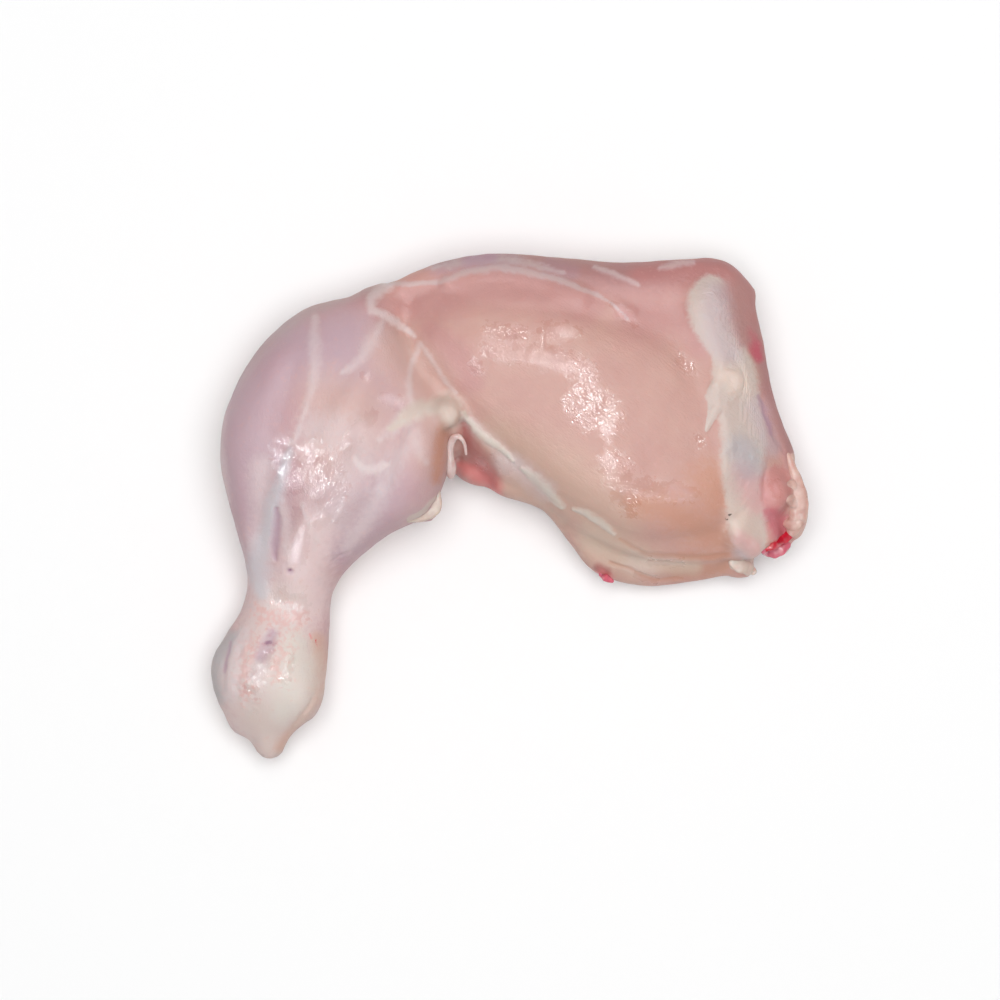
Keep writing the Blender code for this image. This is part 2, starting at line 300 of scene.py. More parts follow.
FILM_LINE = [
    (380, 283, 2.4), (430, 283, 2.6), (455, 277, 3), (471, 271, 3.6), (496, 268, 3.6),
    (516, 270, 3.6), (539, 275, 3.4), (562, 281, 3), (579, 288, 2.4), (597, 295, 2),
    (614, 306, 1.4), (628, 320, 1.2),
]
FRONT_FILM = [
    (432, 268, 3), (452, 264, 6), (478, 261, 7), (508, 261, 7), (536, 266, 6), (562, 273, 3),
]
THIN_FILMS = [
    [(594, 267, 2), (612, 274, 3), (638, 285, 2)],
    [(660, 268, 2), (676, 265, 3.4), (693, 263, 2)],
]

knee_tendon = strokes(KNEE_TENDONS + [PALE_CURL])
faint_cords = strokes([*FAINT_CORDS, *THIN_FILMS])
shank_tendon = stroke(SHANK_TENDON)
film_line = stroke(FILM_LINE)
front_film = stroke(FRONT_FILM)
print("skin points on tendon:", int((np.maximum(knee_tendon, shank_tendon) > 0).sum()))

# %% [markdown]
# ## Fat and gristle
# Fat sits where the leg was cut from the back: a cream band with lumps, grey gristle in it, a
# pink ball of flesh beside it, and flaps along the edge. Fat is lumpy, so its strokes also
# switch on small rounded bumps. The flap and the tag belong to the upper side alone, or their
# colour would run down the flank.

# %% Fat, gristle and the knee knob
HIP_FAT = [
    [
        (712, 289, 14), (711, 298, 22), (713, 312, 25), (719, 328, 23), (727, 346, 19),
        (731, 360, 18),
    ],
    [(731, 360, 18), (734, 374, 22), (736, 390, 23), (740, 412, 22), (744, 438, 24)],
    [(744, 438, 24), (741, 468, 21), (745, 498, 20), (748, 528, 19), (752, 548, 14)],
    [(765, 511, 5), (766, 518, 4)],
]
FAT_LUMPS = [
    [(722, 374, 9), (734, 378, 10), (738, 386, 8)],
    [(722, 410, 8), (726, 440, 8), (727, 470, 8)],
    [(738, 512, 10), (742, 532, 11), (752, 546, 9)],
]
HIP_LOBES = [[(793, 458, 5), (799, 474, 8), (802, 494, 10), (803, 514, 11), (798, 530, 9)]]
FLESH_BALL = [(776, 482, 17), (777, 497, 16)]
TORN_EDGE = [(717, 384, 7), (714, 396, 8), (715, 408, 7), (711, 419, 4.5), (707, 429, 2)]
KNEE_KNOB = [(447, 404, 10), (451, 411, 12), (451, 417, 10)]
KNOB_BAND = [(444, 407, 9), (430, 408, 8), (416, 411, 8), (404, 418, 6), (390, 428, 3)]
CALF_FLAP = [(438, 497, 4), (431, 508, 7), (424, 515, 6), (410, 521, 3)]
SMALL_TAG = [(736, 565, 6), (747, 567, 7), (753, 571, 4)]
GRISTLE = [[(738, 446, 12), (748, 456, 15), (744, 468, 11)]]
PALE_GRISTLE = [[(253, 676, 5), (258, 668, 8), (262, 661, 6)]]
EDGE_SEAM = [
    [(463, 413, 2.6), (474, 427, 3.2), (488, 439, 3.8), (501, 449, 3.0), (513, 460, 1.8)],
    [(522, 467, 2.0), (532, 475, 4.2), (543, 486, 5.8), (553, 496, 5.0), (562, 506, 3.4)],
    [(574, 509, 2.2), (583, 512, 3.6), (594, 518, 3.4), (605, 526, 3.2), (614, 534, 2)],
]

hip_fat = strokes(HIP_FAT, place)
fat_lumps = strokes(FAT_LUMPS)
hip_lobes = strokes(HIP_LOBES)
flesh_ball = stroke(FLESH_BALL)
UPPER_SLOPE = 0.2
small_fat = np.where(normals[:, 2] > UPPER_SLOPE, strokes([CALF_FLAP, SMALL_TAG]), -1.0)
knob = strokes([KNEE_KNOB, KNOB_BAND])
torn_edge = stroke(TORN_EDGE)
gristle = strokes(GRISTLE)
edge_seam = strokes(EDGE_SEAM)
fat = np.maximum(np.minimum(hip_fat, -flesh_ball), small_fat)
print("skin points on fat:", int((fat > 0).sum()), "on the seam:", int((edge_seam > 0).sum()))

# %% [markdown]
# ## The ankle knuckle
# The end of the drumstick is bare cartilage and torn gristle. On the right it is smooth and
# cream, on the left it is mottled, with a purple hole where a tendon was cut, and grey folds
# run along its outer edge.

# %% Knuckle strokes
CARTILAGE = [(294, 644, 12), (298, 662, 18), (297, 680, 22), (291, 698, 20), (283, 710, 12)]
TENDON_HOLE = [(273, 633, 5), (269, 642, 7), (264, 651, 7), (260, 657, 5)]
HOLE_DEPTH = [(267, 643, 2), (271, 642, 2)]
MOTTLED_GRISTLE = [(243, 632, 7), (246, 655, 11), (243, 675, 12), (243, 695, 12), (252, 708, 10)]
KNUCKLE_FOLDS = [
    [(238, 626, 3), (230, 642, 3.5), (225, 660, 4), (222, 678, 4), (223, 690, 3)],
    [(316, 694, 2), (312, 702, 2.2), (301, 716, 2), (293, 727, 1.6)],
]
KNUCKLE_RIDGE = [(243, 630, 6), (235, 650, 6), (232, 672, 6), (230, 694, 6)]

cartilage = stroke(CARTILAGE)
tendon_hole = stroke(TENDON_HOLE)
hole_depth = stroke(HOLE_DEPTH)
mottled_gristle = stroke(MOTTLED_GRISTLE)
knuckle_folds = strokes(KNUCKLE_FOLDS)
knuckle_ridge = stroke(KNUCKLE_RIDGE)
print("skin points on the knuckle:", int((place[:, 1] > 610).sum()))

# %% [markdown]
# ## Creases, slits and the pit behind the knee
# Between muscles the skin dips into creases. The longest is the fold of the flap along the
# back of the thigh, and the deepest place is the pit behind the knee, where red flesh shows.
# A dark slit and a small pit lie beside the tendon of the shank.

# %% Creases
DARK_SLIT = [(278, 508, 2), (277, 522, 4), (276, 536, 4.6), (275, 550, 3.6), (276, 560, 1.6)]
SHANK_PIT = [(289, 571, 2.6), (291, 572, 2.6)]
CREASES = [
    [
        (620, 539, 2), (633, 546, 2.4), (646, 554, 2.6), (670, 555, 2.6), (689, 557, 2.6),
        (727, 554, 2),
    ],
    [(609, 563, 2), (627, 568, 2.2), (643, 576, 2.2), (661, 580, 2), (682, 579, 1.6)],
    [(330, 566, 1.2), (339, 561, 1.4), (350, 556, 1.2)],
    [(331, 572, 1.2), (339, 568, 1.3), (347, 564, 1.1)],
    [(333, 560, 1.2), (341, 555, 1.3), (353, 550, 1.1)],
    [(404, 522, 1.6), (418, 514, 2), (432, 504, 1.8)],
    [(762, 396, 2), (766, 414, 2.4), (774, 434, 2.4), (783, 450, 2)],
    [(765, 470, 2), (763, 486, 2.4), (765, 503, 2.4), (770, 516, 2)],
    [(458, 420, 2.6), (461, 440, 3.2), (459, 462, 2.6)],
]
BROAD_DIPS = [[(424, 318, 8), (436, 330, 9), (455, 353, 9), (468, 372, 8)]]
KNEE_PIT = [(463, 424, 5), (470, 444, 10), (481, 464, 14), (488, 478, 12)]

creases = strokes(CREASES)
broad_dips = strokes(BROAD_DIPS)
slit = strokes([DARK_SLIT, SHANK_PIT])
knee_pit = stroke(KNEE_PIT)
print("skin points in creases:", int((creases > 0).sum()))

# %% [markdown]
# ## Broad shaping
# Before the fine relief, a few wide soft strokes lift or lower the upper side straight up and
# down, which leaves the outline alone. They round off the drumstick, fill the step below the
# film along the front of the thigh, and raise the thigh into the plateau on which the lights
# sparkle. The ridge of bone at the hip is ironed: its heights are blended with the average of
# the heights around them, which a blur over the picture's frame finds.

# %% Shaping strokes
# millimetres, strokes
SHAPING = [
    (0.7, [[(472, 326, 42), (540, 304, 48), (600, 312, 44)]]),
    (1.6, [[(448, 283, 7), (480, 283, 12), (515, 286, 14), (548, 291, 13), (580, 298, 10)]]),
    (0.8, [[(560, 294, 11), (590, 300, 11), (612, 306, 9), (632, 312, 5)]]),
    (1.6, [[(600, 498, 40), (650, 512, 42), (700, 500, 34)]]),
    (1.4, [[(290, 500, 26), (296, 540, 26), (300, 575, 22)], [(345, 505, 28), (332, 550, 26)]]),
    (-2.6, [[(240, 380, 26), (232, 430, 26), (236, 480, 24), (246, 520, 20)]]),
    (0.6, [[(736, 304, 13), (742, 330, 12), (748, 354, 11), (751, 378, 10), (757, 400, 8)]]),
]
IRONED = [
    (704, 296, 26), (714, 322, 34), (726, 354, 34), (736, 390, 33), (742, 430, 30), (742, 480, 26),
]
IRON_CELL = 2.0
IRON_REACH = 13.0
IRON_LIMIT = 3.0


def ironed(heights):
    """Heights of the upper side, blurred over the picture by about IRON_REACH."""
    cells = int(PICTURE / IRON_CELL)
    column, row = np.clip((place / IRON_CELL).astype(int), 0, cells - 1).T
    waves = np.fft.fftfreq(cells)[:, None] ** 2 + np.fft.rfftfreq(cells)[None, :] ** 2
    blur = np.exp(-2 * (math.pi * IRON_REACH / IRON_CELL) ** 2 * waves)
    sums = []
    for values in (facing_up * heights, facing_up):
        grid = np.zeros((cells, cells))
        np.add.at(grid, (row, column), values)
        sums.append(np.fft.irfft2(np.fft.rfft2(grid) * blur, s=grid.shape))
    return sums[0][row, column] / np.maximum(sums[1][row, column], 1e-3)


shaping = sum(swell(strokes(several, place), -0.8, 0.9) * tall for tall, several in SHAPING)
settling = (ironed(points[:, 2]) - points[:, 2]) / MM
shaping += swell(stroke(IRONED, place), -0.95, 0.8) * np.clip(settling, -IRON_LIMIT, IRON_LIMIT)
shaping *= facing_up
print("shaping, mm:", round(shaping.min(), 2), "to", round(shaping.max(), 2))

# %% [markdown]
# ## The side that lies on the table
# The picture doesn't show the underside, so it is finished like what shows: films between
# the muscles, a tendon down the drumstick and fat towards the hip end.

# %% Underside strokes
UNDER_TENDONS = [
    [(380, 300, 4), (372, 340, 4), (350, 400, 4), (318, 470, 5), (290, 540, 6), (280, 600, 6)],
    [(300, 330, 3), (270, 400, 4), (258, 470, 4), (262, 540, 5)],
    [(450, 430, 3), (520, 420, 4), (600, 412, 4), (680, 405, 4), (720, 400, 3)],
    [(430, 330, 4), (470, 310, 4), (560, 300, 4), (650, 300, 4)],
]
UNDER_FAT = [
    [(700, 300, 9), (716, 340, 12), (724, 390, 14), (735, 440, 14), (742, 500, 12)],
    [(455, 440, 8), (480, 450, 10), (520, 470, 9), (560, 500, 7)],
]
under_tendon = strokes(UNDER_TENDONS)
under_fat = strokes(UNDER_FAT)
print("skin points that face down:", int((facing_down > 0.5).sum()))

# %% [markdown]
# ## Relief
# All strokes now move the skin along its normals, with heights in millimetres. Soft noise
# adds the slow unevenness of muscle, noise that is long along the fibres adds fine ridges,
# and rounded bumps break up the fat and the knuckle. The underside is pressed flat again.

# %% Move the skin
slow_waves = noise_at(points, 12 * MM, 3)
small_lumps = noise_at(points, 2.4 * MM, 4, 2)
large_lumps = noise_at(points, 5.5 * MM, 6, 2)
fibre_ridges = noise_at(fibres * np.array([0.16, 1.0, 1.0]), 1.5 * MM, 5, 2)
fat_share = swell(fat, -0.3, 0.6)
RELIEF = [
    (swell(knee_tendon, -0.6, 0.8), 0.16),
    (swell(faint_cords, -0.8, 0.9), 0.10),
    (swell(shank_tendon, -0.8, 0.9), 0.30),
    (swell(film_line, -0.5, 0.8), 0.12),
    (swell(front_film), 0.10),
    (swell(edge_seam, -0.5, 0.8) * (1 + 0.3 * small_lumps), 0.45),
    (swell(torn_edge), 0.45),
    (fat_share, 0.28),
    (swell(fat_lumps, -0.6, 0.8) * (1 + large_lumps), 0.40),
    (swell(fat_lumps) * small_lumps, 0.06),
    (swell(hip_fat) * large_lumps, 0.18),
    (swell(stroke(KNEE_KNOB), -0.7, 0.9), 0.30),
    (swell(knob, -0.7, 0.9), 0.20),
    (swell(gristle), 0.30),
    (swell(mottled_gristle) * small_lumps, 0.30),
    (swell(tendon_hole, -0.6, 0.9), -0.35),
    (swell(hole_depth), -0.50),
    (swell(knuckle_folds, -0.5, 0.8), -0.30),
    (swell(knuckle_ridge, -0.5, 0.8), 0.25),
    (swell(cartilage, -0.6, 0.8), 0.20),
    (swell(creases, -0.6, 0.9), -0.28),
    (swell(broad_dips, -0.6, 0.8), -0.25),
    (swell(flesh_ball, -0.4, 0.9), 0.50),
    (swell(slit, -0.5, 0.8), -0.50),
    (swell(knee_pit), -0.45),
]
height = sum(share * millimetres for share, millimetres in RELIEF) * facing_up
UNDER_RISE = 0.3
SLOW_RISE = 0.18
FIBRE_RISE = 0.03
under_lumps = UNDER_RISE + 0.5 * small_lumps
height += (swell(under_tendon) * UNDER_RISE + swell(under_fat) * under_lumps) * facing_down
height += SLOW_RISE * slow_waves + FIBRE_RISE * fibre_ridges * (1 - fat_share * facing_up)

RESTING = 0.05 * MM
moved = points + normals * (height * MM)[:, None]
moved[:, 2] += shaping * MM
moved[:, 2] = np.where(points[:, 2] < RESTING, 0.0, np.maximum(moved[:, 2], 0.0))
skin.vertices.foreach_set("co", moved.astype(np.float32).ravel())
skin.polygons.foreach_set("use_smooth", np.ones(len(skin.polygons), bool))
skin.update()
print("relief, mm:", round(height.min(), 2), "to", round(height.max(), 2))

# %% [markdown]
# ## Zones of colour
# Raw chicken isn't one pink. The drumstick is lilac under its silverskin and peach in the
# middle, the thigh is salmon and turns rose at its upper edge and beige below, and an
# orange patch lies along the back. Each zone is a few soft broad strokes. Some zones also
# paint light: the rims and the hollow at the hip are darker partly as painted shade, and the
# shank is lighter partly as painted light.

# %% Zone strokes
ZONES = {
    "rose": [
        [(386, 306, 16), (430, 300, 22), (480, 286, 20), (540, 290, 20), (590, 305, 16)],
        [(600, 285, 20), (660, 285, 28), (700, 268, 18), (735, 285, 18), (748, 310, 12)],
        [(690, 272, 20), (722, 274, 20), (742, 292, 14), (752, 318, 10)],
        [(640, 310, 26), (690, 320, 20), (700, 345, 12)],
        [(300, 310, 14), (340, 297, 12), (368, 296, 11)],
        [(270, 360, 18), (285, 390, 18), (280, 420, 18)],
        [(430, 330, 12), (455, 355, 14), (470, 380, 12)],
        [(357, 485, 14), (352, 502, 12)],
        [(757, 350, 8), (770, 400, 9), (783, 440, 9), (790, 465, 7)],
    ],
    "lilac": [
        [(300, 345, 30), (262, 385, 38), (242, 430, 42), (246, 480, 40), (254, 520, 26)],
        [(340, 340, 28), (330, 370, 24)],
        [(254, 520, 26), (254, 560, 16)],
        [(372, 500, 34), (360, 530, 26), (342, 552, 15)],
        [(402, 476, 17)],
        [(440, 262, 11), (470, 256, 11), (510, 258, 9)],
        [(548, 266, 7), (572, 272, 7)],
    ],
    "peach": [
        [(330, 400, 28), (350, 420, 34), (330, 450, 26)],
        [(395, 350, 24), (420, 380, 24), (433, 420, 19), (432, 455, 18)],
        [(318, 660, 10), (321, 690, 10)],
    ],
    "tan": [
        [(500, 440, 20), (556, 478, 30), (610, 524, 30)],
        [(600, 548, 22), (634, 560, 20)],
        [(520, 485, 18), (560, 515, 20)],
        [(748, 360, 8), (756, 376, 7)],
    ],
    "orange": [
        [(676, 572, 8), (700, 570, 9), (724, 566, 7)],
        [(636, 507, 11), (662, 508, 14), (688, 521, 18), (712, 533, 19), (732, 542, 12)],
        [(708, 480, 20), (716, 502, 20)],
        [(680, 556, 4), (715, 556, 5), (728, 554, 4)],
        [(444, 425, 5), (440, 450, 6), (437, 480, 5)],
    ],
    "pale": [
        [(262, 470, 12), (266, 520, 14), (262, 570, 18), (270, 600, 22), (268, 625, 20)],
        [(300, 560, 22), (304, 600, 26)],
        [(316, 530, 18), (308, 550, 20), (304, 580, 22), (312, 606, 18)],
        [(634, 562, 9), (650, 566, 8)],
        [(222, 400, 5), (219, 450, 5), (224, 500, 5)],
        [(500, 462, 9), (520, 470, 10), (545, 490, 9)],
        [(320, 430, 18), (352, 450, 24), (330, 520, 22)],
    ],
    # Rim zones: darker colours along the edges of the leg, partly the flesh's own duller tone and
    # partly painted shade where the surface rounds away from the light.
    "rim_grey_shade": [
        [(232, 380, 7), (247, 354, 9), (275, 328, 9), (310, 308, 9), (350, 291, 8), (385, 278, 6)],
    ],
    "flap_cream": [[(592, 538, 14), (618, 552, 12), (650, 564, 9), (694, 567, 7)]],
    # Shank zone: the shank's whitish colour, made lighter still as painted light so the sloping
    # shank looks as brightly lit as the crown.
    "shank_pale_and_lit": [[(318, 528, 14), (312, 548, 18), (304, 575, 20), (300, 602, 22)]],
    # Rim zones again: darker edge colours, partly own tone and partly painted shade.
    "rim_red_shade": [[(640, 274, 10), (680, 268, 15), (715, 272, 19), (740, 290, 14), (752, 316, 9)]],
    "rim_spot": [[(748, 329, 3), (750, 338, 6), (754, 347, 7), (758, 357, 5)]],
    "rim_dusky_shade": [
        [
            (440, 261, 7), (480, 257, 12), (530, 262, 13), (580, 269, 15), (640, 270, 16),
            (684, 264, 13),
        ],
        [(690, 262, 12), (726, 270, 14), (744, 292, 12), (752, 320, 9), (762, 360, 9)],
        [(762, 360, 9), (772, 395, 9), (784, 430, 8), (794, 462, 6)],
    ],
    "knuckle": [[(282, 612, 34), (272, 645, 48), (262, 680, 58), (268, 730, 44)]],
    "knuckle_grey": [[(233, 636, 6), (218, 656, 10), (212, 678, 10), (217, 698, 7)]],
    "knuckle_white": [[(244, 634, 7), (236, 650, 7), (232, 672, 7), (230, 694, 8)], *PALE_GRISTLE],
    "knuckle_beige": [[(256, 716, 14), (268, 730, 16), (270, 748, 12)]],
    "knuckle_salmon": [
        [(250, 640, 9), (249, 656, 11), (244, 674, 11), (246, 692, 10)],
        [(262, 612, 10), (280, 622, 14), (300, 616, 10)],
        [(280, 650, 10), (278, 672, 10)],
    ],
    "knuckle_peach": [
        [(318, 640, 7), (321, 664, 8), (319, 690, 7)],
        [(317, 700, 5), (303, 718, 5), (290, 734, 5), (281, 747, 6)],
    ],
    # Hollow zone: dark flesh in the hollow right of the fat band and along the right edge, its
    # darkness partly painted shade.
    "hollow_flesh_and_shade": [
        [(733, 292, 13), (738, 306, 15), (740, 324, 12), (744, 340, 8)],
        [(770, 420, 6), (778, 444, 6)],
    ],
    "fat_cream": [
        [(742, 510, 15), (744, 532, 15), (752, 550, 10)],
        [(728, 374, 11), (738, 384, 11)],
    ],
    "fat_lilac": [
        [(716, 296, 12), (716, 316, 13), (720, 338, 13), (730, 354, 10)],
        [(757, 408, 10), (764, 428, 9), (772, 448, 8)],
        [(742, 452, 12), (752, 470, 11)],
        [(738, 552, 5), (745, 556, 4)],
    ],
    "fat_pink": [
        [(742, 472, 10), (750, 490, 13), (758, 503, 11)],
        [(758, 502, 7), (762, 508, 6)],
        [(740, 540, 8), (752, 548, 8)],
    ],
}
zones = {name: strokes(several, place) for name, several in ZONES.items()}
print("zones:", {name: int((inside > 0).sum()) for name, inside in zones.items()})

# %% [markdown]
# ## Blood, deep flesh and painted shade
# Small strong colours tell that the meat is fresh: red at the cut vessels of the hip end, a
# tiny red speck on the knuckle, and coral flesh in the pit behind the knee. The dark red at
# the top of that pit, the dark magenta in the knuckle's hole and the shank's pit, and the purple
# in the dark slit are partly the tissue's own colour and partly painted shade. They lie where
# they are pointed at, and only the bruise strokes are shaken as the tendons are.

# %% Blood strokes and painted shade
SMALL_COLOURS = {
    "blood": [
        [(789, 535, 4), (783, 540, 3.4), (773, 545, 3.4)],
        [(316, 640, 0.6), (317, 646, 0.6)],
    ],
    # Deep flesh: dark red at the top of the pit behind the knee and beside the blood at the flap,
    # partly the flesh's colour and partly painted shade.
    "deep_flesh_and_shade": [
        [(464, 424, 5), (468, 442, 8), (474, 456, 9)],
        [(598, 568, 5), (606, 572, 5)],
    ],
    "coral": [
        [(462, 466, 7), (476, 474, 9), (490, 484, 9), (497, 492, 5)],
        [(601, 573, 4), (608, 578, 4)],
        [(310, 634, 0.8), (312, 639, 0.8)],
    ],
    "raw_pink": [[(769, 513, 5), (777, 521, 10), (781, 533, 9)]],
    "specks": [[(728.5, 514.5, 1.3), (730, 514, 1.3)], [(725.5, 519, 1.1), (727, 519, 1.1)]],
}
# Purple strokes: real purple strands and bruising, and in the dark slit, the shank's pit and the
# tendon hole partly painted shade.
BRUISE_AND_SHADE = [
    [(759, 396, 2), (765, 414, 3), (772, 434, 2.4)],
    [(231, 642, 1.8), (227, 656, 2.0), (224, 672, 2.0)],
    DARK_SLIT,
    SHANK_PIT,
    TENDON_HOLE,
    [(470, 258, 8), (492, 257, 6)],
]
# Hole strokes: dark magenta in the knuckle's tendon hole and the shank's pit, partly tissue colour
# and partly painted shade.
HOLE_DARK = [HOLE_DEPTH, [(289, 571, 1.6), (290, 571, 1.6)]]

small_colours = {name: strokes(several, place) for name, several in SMALL_COLOURS.items()}
small_colours["deep_flesh_and_shade"] = np.maximum(small_colours["deep_flesh_and_shade"], knee_pit - 0.2)
small_colours["bruise_and_shade"] = strokes(BRUISE_AND_SHADE)
small_colours["hole_magenta_and_shade"] = strokes(HOLE_DARK)
print("skin points with blood:", int((small_colours["blood"] > 0).sum()))

# %% [markdown]
# ## Wet places
# The moist film doesn't sparkle everywhere: it has dried to a dull sheen on the slopes and
# stands wet in a few patches on the crowns. The patches are strokes too, and the gloss is
# sharp only in them.

# %% Wet strokes
WET = [
    [(582, 392, 10), (594, 402, 15), (604, 416, 14), (606, 430, 9)],
    [(566, 400, 5), (574, 412, 6), (586, 426, 6)],
    [(486, 350, 8), (512, 354, 9), (540, 353, 11), (566, 362, 12), (588, 374, 10)],
    [(488, 330, 7), (505, 332, 8), (524, 333, 6)],
    [(546, 331, 8), (562, 331, 9), (576, 333, 6)],
    [(473, 362, 5), (479, 368, 6)],
    [(612, 462, 12), (622, 484, 14), (630, 508, 9)],
    [(642, 488, 10), (668, 492, 10), (690, 494, 7)],
    [(612, 304, 3), (624, 314, 5), (634, 324, 4)],
    [(363, 375, 4), (368, 377, 4)],
    [(384, 397, 6), (398, 404, 7)],
    [(284, 450, 12), (291, 470, 14), (298, 484, 10)],
    [(312, 452, 12), (326, 478, 18), (330, 506, 14), (320, 522, 8)],
    [(299, 512, 6), (300, 536, 9), (298, 560, 8)],
    [(344, 448, 6), (360, 430, 7), (374, 414, 5)],
    [(480, 463, 4), (482, 468, 4)],
    [(499, 455, 6), (507, 467, 7)],
    [(681, 360, 6), (689, 370, 6)],
    [(699, 438, 5), (701, 444, 5)],
    [(282, 598, 9), (300, 606, 12)],
    [(252, 690, 8), (262, 668, 8), (272, 650, 5)],
    [(637, 575, 4), (655, 580, 4)],
    [(650, 562, 4), (682, 563, 4)],
    [(773, 484, 5), (776, 492, 5)],
    [(285, 680, 5), (292, 660, 5)],
]
wet = strokes(WET, place)
print("skin points in wet places:", int((wet > 0).sum()))

# %% [markdown]
# ## Keeping the masks on the mesh
# Each ramp is stored as a number on every point of the skin, under a plain name. The
# material reads them by name, which keeps all the drawing in one place and all the colours
# in another. Most of them are on the upper side alone. Below, where the picture shows
# nothing, the zones are patches of noise.

# %% Store the masks
UNDER_PATCH = 16 * MM
NOT_THERE = -1.0


def under_patches(contrast, middle, seed):
    return contrast * noise_at(points, UNDER_PATCH, seed, 2) + middle


upper_only = {
    "faint_cords": faint_cords,
    "film": np.maximum(film_line, front_film - 0.3),
    "shank_tendon": shank_tendon,
    "seam": edge_seam,
    "knob": knob,
    "lobes": hip_lobes,
    "flesh_ball": np.minimum(flesh_ball, -hip_lobes),
    "gristle": gristle,
    # Crease mask: the two long creases of the flap, whose orange-brown colour is partly a tint and
    # partly painted shade in the folds.
    "crease_tint_and_shade": strokes(CREASES[:2]),
    **small_colours,
}
masks = {
    "tendon": (knee_tendon, under_tendon),
    "fat": (np.maximum(fat, torn_edge), under_fat),
    "cartilage": (cartilage, cartilage),
    "wet": (wet, under_patches(1.4, -0.5, 60)),
    **{name: (inside, NOT_THERE) for name, inside in upper_only.items()},
}
for seed, (name, inside) in enumerate(zones.items()):
    masks[name] = (inside, under_patches(1.6, -0.3, 20 + seed))


def store(name, values):
    layer = skin.attributes.new(name, "FLOAT", "POINT")
    layer.data.foreach_set("value", values.astype(np.float32))


for name, (above, below) in masks.items():
    store(name, np.clip(above * facing_up + below * facing_down, -1, 1))
store("thigh", on_thigh)
fibre_layer = skin.attributes.new("fibres", "FLOAT_VECTOR", "POINT")
fibre_layer.data.foreach_set("vector", (fibres / MM).astype(np.float32).ravel())
print("masks:", ", ".join(masks))

# %% [markdown]
# ## Effects shared by the finishes
# Three effects come back in every wet finish, so each is a node group with its own inputs.
# Mottling is soft blotches. Fibre grain is noise stretched along the muscle. Wet crinkle is
# the fine net of wrinkles in a moist film, which breaks a highlight into sparks.

# %% Node helpers
SCREEN_WHITE = 255.0
LIGHT_GAIN = (1.085, 1.055, 1.04)


def rgb(*seen):
    """Linear colour of a finish that is to look like a screen colour, 0 to 255, in this light."""
    linear = [((value / SCREEN_WHITE + 0.055) / 1.055) ** 2.4 for value in seen]
    return (*(value / gain for value, gain in zip(linear, LIGHT_GAIN)), 1.0)


def add(tree, kind, links=(), **settings):
    """A node with settings; links are (input, socket to link or value)."""
    node = tree.nodes.new(kind)
    for key, value in settings.items():
        setattr(node, key, value)
    for slot, source in links:
        if isinstance(source, bpy.types.NodeSocket):
            tree.links.new(source, node.inputs[slot])
        else:
            node.inputs[slot].default_value = source
    return node


def calc(tree, operation, *values):
    return add(tree, "ShaderNodeMath", enumerate(values), operation=operation).outputs[0]


def remap(tree, value, low, high, to_low=0.0, to_high=1.0):
    """Value from low..high to to_low..to_high, smoothly and clamped."""
    rows = [("Value", value), ("From Min", low), ("From Max", high)]
    rows += [("To Min", to_low), ("To Max", to_high)]
    return add(tree, "ShaderNodeMapRange", rows, interpolation_type="SMOOTHSTEP").outputs[0]


def noise_node(tree, vector, scale, detail, roughness, distortion=0.0):
    rows = [("Vector", vector), ("Scale", scale), ("Detail", detail)]
    rows += [("Roughness", roughness), ("Distortion", distortion)]
    return add(tree, "ShaderNodeTexNoise", rows).outputs["Fac"]


def new_group(name, inputs, outputs):
    """A node group with (label, socket type, value) inputs and float outputs."""
    tree = bpy.data.node_groups.new(name, "ShaderNodeTree")
    for label, kind, value in inputs:
        socket = tree.interface.new_socket(label, in_out="INPUT", socket_type=kind)
        if value is not None:
            socket.default_value = value
    for label in outputs:
        tree.interface.new_socket(label, in_out="OUTPUT", socket_type="NodeSocketFloat")
    return tree, tree.nodes.new("NodeGroupInput").outputs, tree.nodes.new("NodeGroupOutput").inputs


FLOAT = "NodeSocketFloat"
VECTOR = "NodeSocketVector"

# %% Mottling
group, given, result = new_group(
    "mottling", [("Size mm", FLOAT, 6.0), ("Contrast", FLOAT, 1.0)], ["Mask"]
)
where = add(group, "ShaderNodeTexCoord").outputs["Object"]
per_metre = calc(group, "DIVIDE", 1 / MM, given["Size mm"])
blotches = calc(group, "SUBTRACT", noise_node(group, where, per_metre, 3.0, 0.55), 0.5)
stretched = calc(group, "MULTIPLY", blotches, calc(group, "MULTIPLY", given["Contrast"], 2.2))
mask = add(group, "ShaderNodeClamp", [("Value", calc(group, "ADD", stretched, 0.5))]).outputs[0]
group.links.new(mask, result["Mask"])
MOTTLING = group

# %% Fibre grain
LONG_STRANDS = (0.09, 1.0, 1.0)
group, given, result = new_group(
    "fibre_grain", [("Fibres", VECTOR, None), ("Width mm", FLOAT, 0.5)], ["Height"]
)
rows = [(0, given["Fibres"]), (1, LONG_STRANDS)]
strands = add(group, "ShaderNodeVectorMath", rows, operation="MULTIPLY").outputs[0]
per_width = calc(group, "DIVIDE", 1.0, given["Width mm"])
group.links.new(noise_node(group, strands, per_width, 2.0, 0.6), result["Height"])
FIBRE_GRAIN = group

# %% Wet crinkle
SHORT_WRINKLES = (0.62, 1.0, 1.0)
DRY_PATCHES_PER_MM = 0.16
group, given, result = new_group(
    "wet_crinkle", [("Fibres", VECTOR, None), ("Size mm", FLOAT, 0.8)], ["Height", "Dry"]
)
rows = [(0, given["Fibres"]), (1, SHORT_WRINKLES)]
squeezed = add(group, "ShaderNodeVectorMath", rows, operation="MULTIPLY").outputs[0]
per_size = calc(group, "DIVIDE", 1.0, given["Size mm"])
group.links.new(noise_node(group, squeezed, per_size, 2.0, 0.5, 0.6), result["Height"])
dry = noise_node(group, squeezed, DRY_PATCHES_PER_MM, 2.0, 0.5)
group.links.new(remap(group, dry, 0.35, 0.65), result["Dry"])
WET_CRINKLE = group
print("node groups:", [group.name for group in bpy.data.node_groups])

